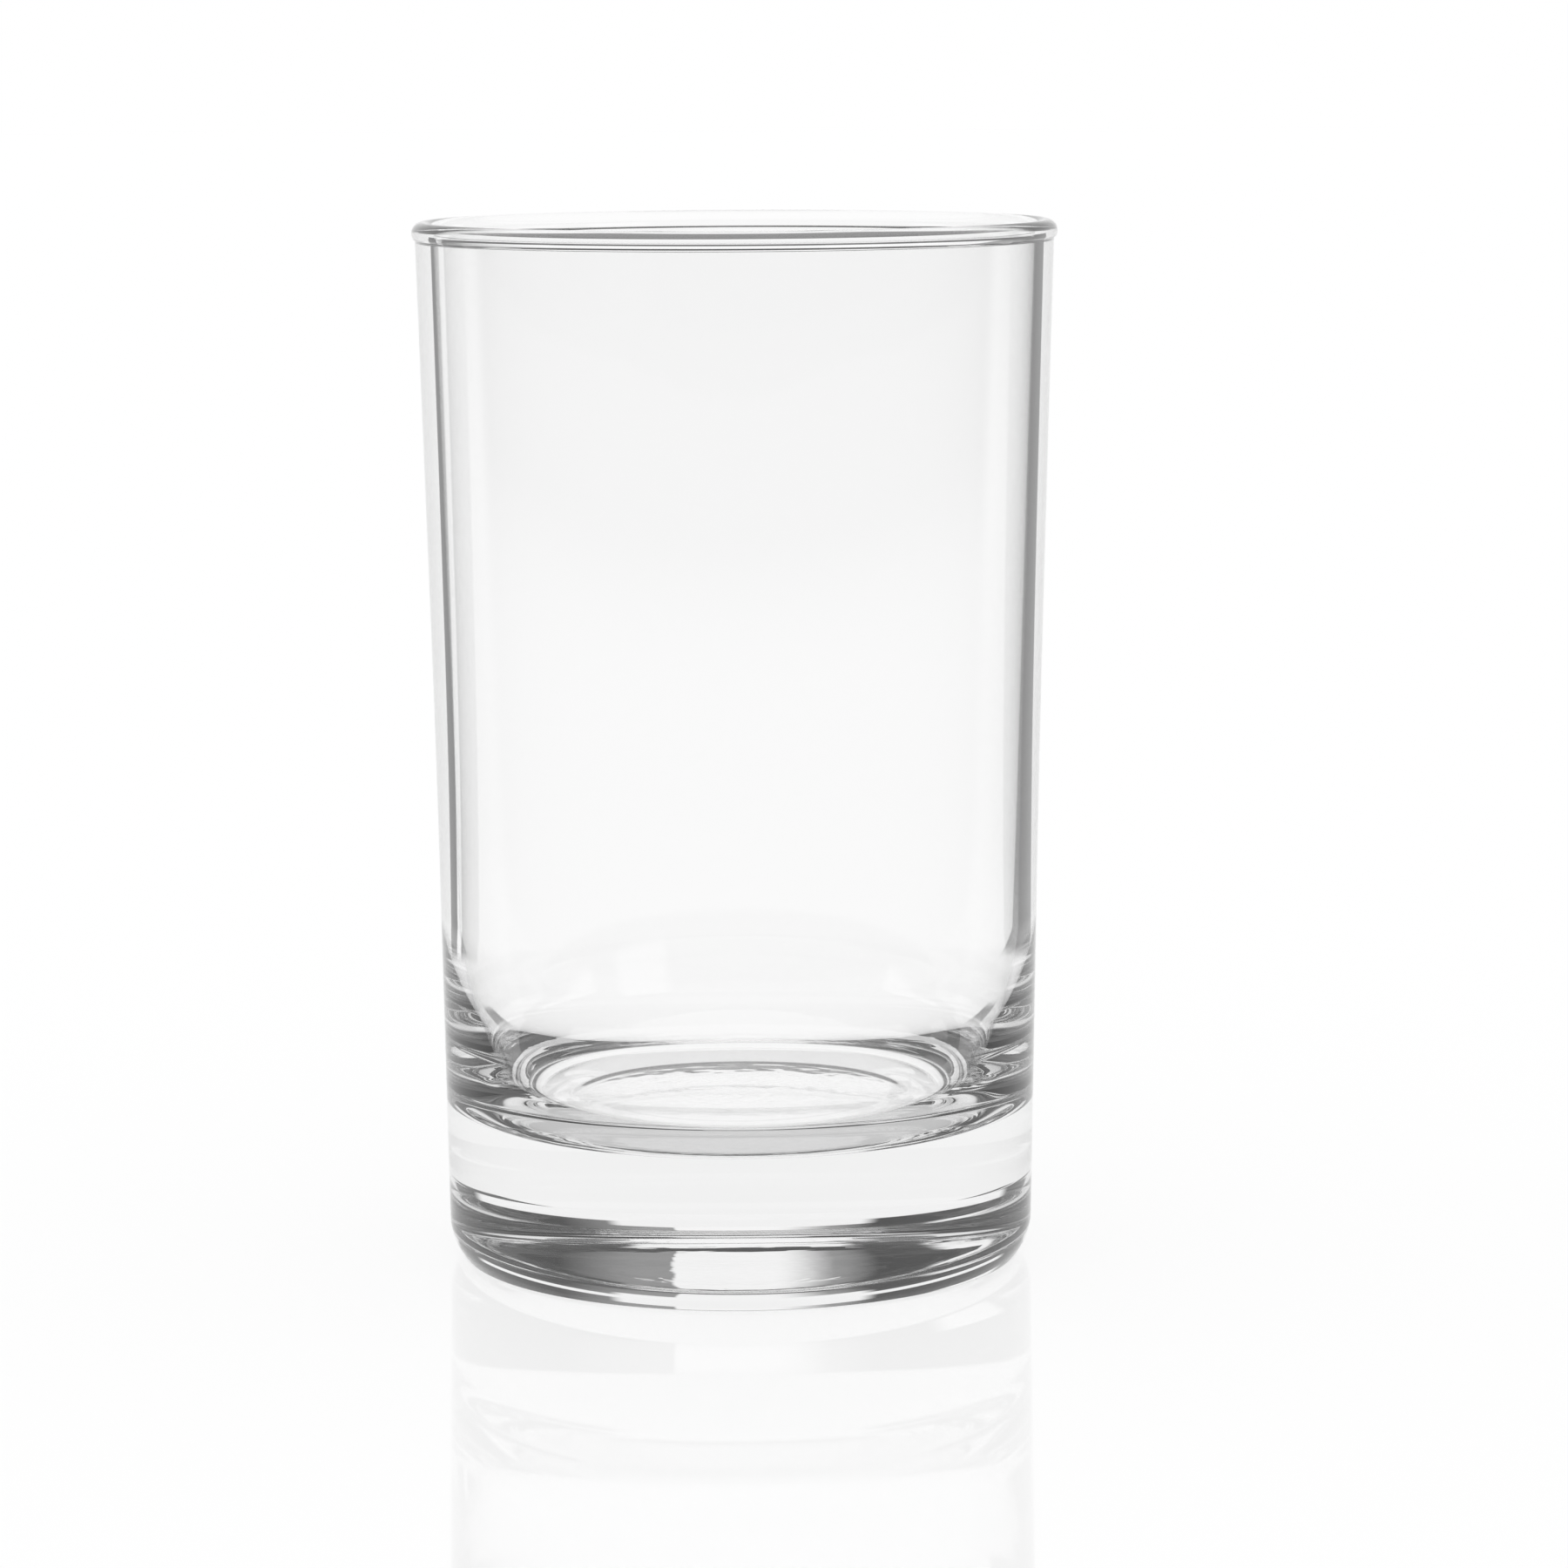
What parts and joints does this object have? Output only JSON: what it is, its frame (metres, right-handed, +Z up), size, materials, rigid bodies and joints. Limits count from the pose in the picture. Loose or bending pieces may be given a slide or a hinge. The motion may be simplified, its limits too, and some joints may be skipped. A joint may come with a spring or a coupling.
{
  "type": "juice glass",
  "caption": "Clear heavy-based juice tumbler: round thin wall flaring slightly to a rounded rim bead, thick solid base with a bowl-shaped floor and a shallow hollow underneath.",
  "frame": {"origin": "centre of the flat ring that the glass stands on, at table level", "axes": "+Z up along the axis of the glass, from the base to the rim; the glass is round, so +X and +Y are free choices"},
  "size_m": [0.0572, 0.0572, 0.093],
  "materials": {
    "clear_glass": "clear, fire-polished"
  },
  "bodies": {
    "root": {"rim_bead": "clear_glass", "wall": "clear_glass", "base": "clear_glass", "foot_ring": "clear_glass"}
  },
  "joints": []
}
